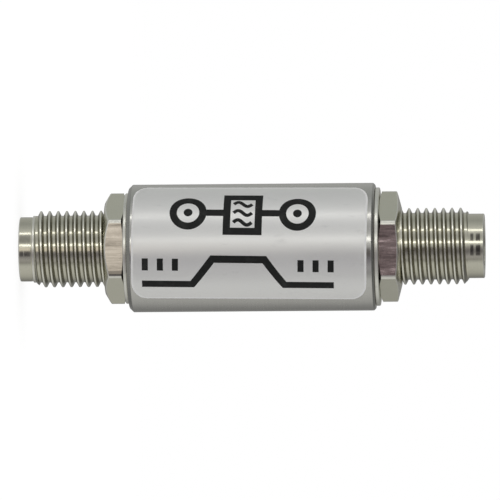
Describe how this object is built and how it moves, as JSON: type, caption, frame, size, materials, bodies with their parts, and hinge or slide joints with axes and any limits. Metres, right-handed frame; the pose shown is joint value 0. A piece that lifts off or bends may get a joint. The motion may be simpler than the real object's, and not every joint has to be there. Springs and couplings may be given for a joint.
{
  "type": "rf bandpass filter",
  "caption": "In-line coaxial band-pass filter: a chamfered round metal housing with a foil label and a threaded coaxial jack with a hexagon at each end.",
  "frame": {"origin": "on the axis, in the mating face of the lower jack, on which the filter stands", "axes": "+Z along the axis from the lower jack to the upper jack, -Y out of the middle of the foil label's front"},
  "size_m": [0.0104, 0.0106, 0.0382],
  "materials": {
    "nickel": "satin nickel plate on turned brass",
    "foil": "matt silver foil label",
    "fluoropolymer": "white turned fluoropolymer",
    "gold": "gold plate",
    "laminate": "green glass-fibre laminate",
    "copper": "gold-flashed copper",
    "ceramic": "pale fired ceramic",
    "lid": "plated lid",
    "ferrite": "dark chip body",
    "dielectric": "tan chip body",
    "solder": "bright solder"
  },
  "bodies": {
    "root": {"housing": "nickel", "label": "foil", "lower_washer": "nickel", "upper_washer": "nickel", "lower_jack_shell": "nickel", "upper_jack_shell": "nickel", "lower_insulator": "fluoropolymer", "upper_insulator": "fluoropolymer", "lower_contact": "gold", "upper_contact": "gold", "board_pin": "gold", "circuit_board": "laminate", "ground_plane": "copper", "left_ground_strip": "copper", "right_ground_strip": "copper", "lower_trace": "copper", "upper_trace": "copper", "saw_package": "ceramic", "saw_lid": "lid", "lower_inductor": "ferrite", "upper_inductor": "ferrite", "lower_capacitor": "dielectric", "upper_capacitor": "dielectric", "lower_solder": "solder", "upper_solder": "solder", "left_ground_solder": "solder", "right_ground_solder": "solder"}
  },
  "joints": []
}
